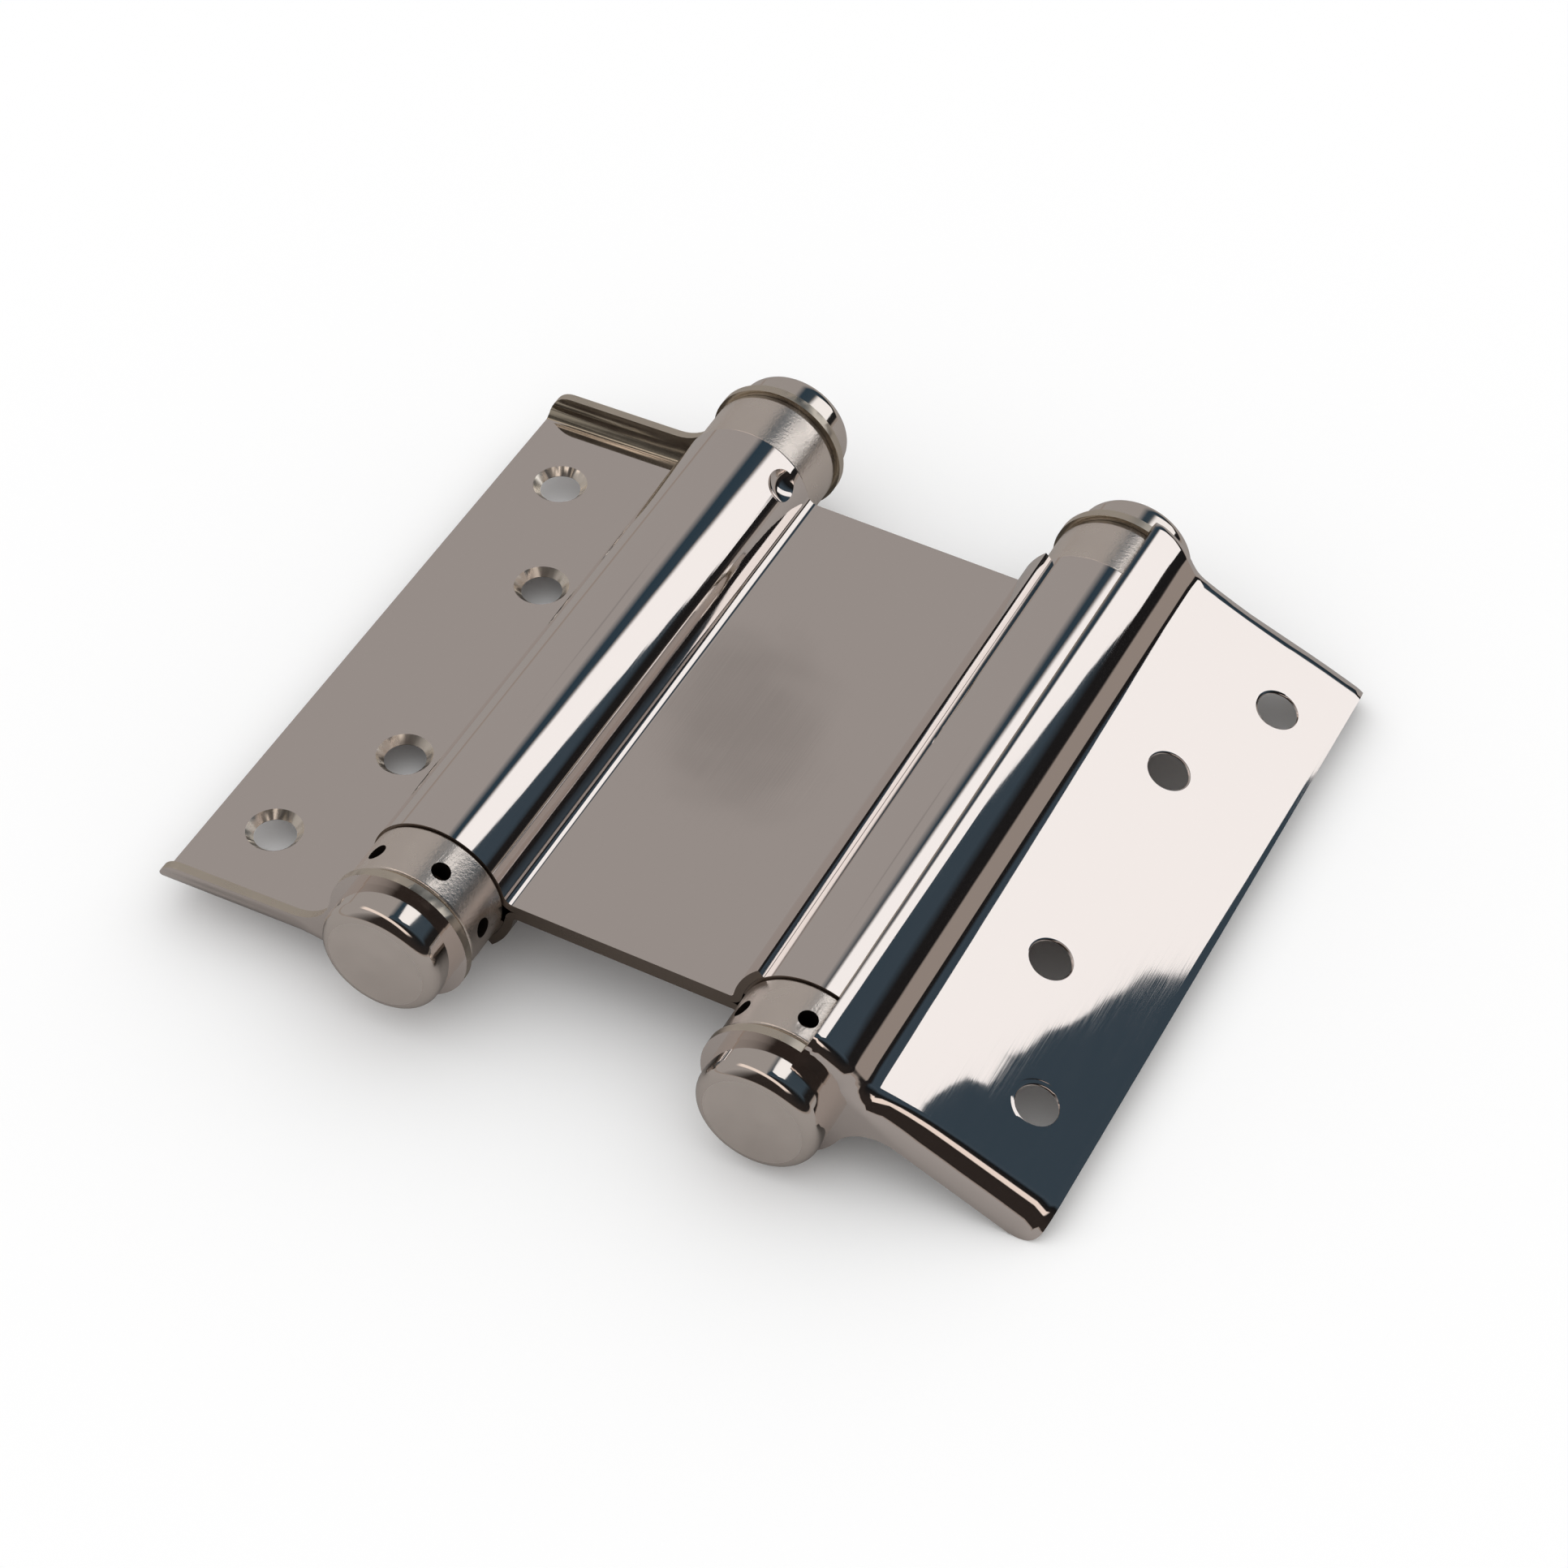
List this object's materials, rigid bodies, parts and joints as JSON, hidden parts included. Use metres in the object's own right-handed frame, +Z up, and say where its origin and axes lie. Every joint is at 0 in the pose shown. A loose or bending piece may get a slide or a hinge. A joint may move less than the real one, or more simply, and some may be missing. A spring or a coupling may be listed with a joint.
{
  "type": "double action spring hinge",
  "caption": "Sheet metal double action spring hinge: a rolled barrel at each side of a flat web, collars for winding, capped spindles and flanged leaves with countersunk holes.",
  "frame": {"origin": "middle of the box round the open hinge, on the surface that it lies on", "axes": "+Y along both hinge axes, away from the winding collars; +X across, from the left leaf to the right leaf; +Z up"},
  "size_m": [0.1196, 0.1108, 0.0212],
  "materials": {
    "polished_sheet": "bright nickel plate, mirror polished",
    "cap_steel": "nickel plate, bright side and satin end",
    "collar_steel": "nickel plate, fine turned grain",
    "spindle_steel": "plain turned steel",
    "spring_wire": "oiled spring steel"
  },
  "bodies": {
    "web": {"web_sheet_left": "polished_sheet", "web_sheet_right": "polished_sheet", "fixed_collar_left": "collar_steel", "fixed_collar_right": "collar_steel", "spring_left": "spring_wire", "spring_right": "spring_wire"},
    "left_leaf": {"leaf_left": "polished_sheet", "spindle_left": "spindle_steel", "cap_left_near": "cap_steel", "cap_left_far": "cap_steel", "washer_left_near": "collar_steel", "washer_left_far": "collar_steel"},
    "left_collar": {"adjusting_collar_left": "collar_steel"},
    "right_leaf": {"leaf_right": "polished_sheet", "spindle_right": "spindle_steel", "cap_right_near": "cap_steel", "cap_right_far": "cap_steel", "washer_right_near": "collar_steel", "washer_right_far": "collar_steel"},
    "right_collar": {"adjusting_collar_right": "collar_steel"}
  },
  "joints": [
    {"name": "left_leaf_swing", "type": "hinge", "parent": "web", "child": "left_leaf", "pos_m": [-0.02518, 0, 0.0118], "axis": [0, 1, 0], "range_deg": [-78, 180]},
    {"name": "left_collar_wind", "type": "hinge", "parent": "web", "child": "left_collar", "pos_m": [-0.02518, 0, 0.0118], "axis": [0, 1, 0], "range_deg": [0, 180], "deforming": ["spring_left"]},
    {"name": "right_leaf_swing", "type": "hinge", "parent": "web", "child": "right_leaf", "pos_m": [0.02466, 0, 0.0094], "axis": [0, 1, 0], "range_deg": [-95, 160]},
    {"name": "right_collar_wind", "type": "hinge", "parent": "web", "child": "right_collar", "pos_m": [0.02466, 0, 0.0094], "axis": [0, 1, 0], "range_deg": [0, 180], "deforming": ["spring_right"]}
  ]
}
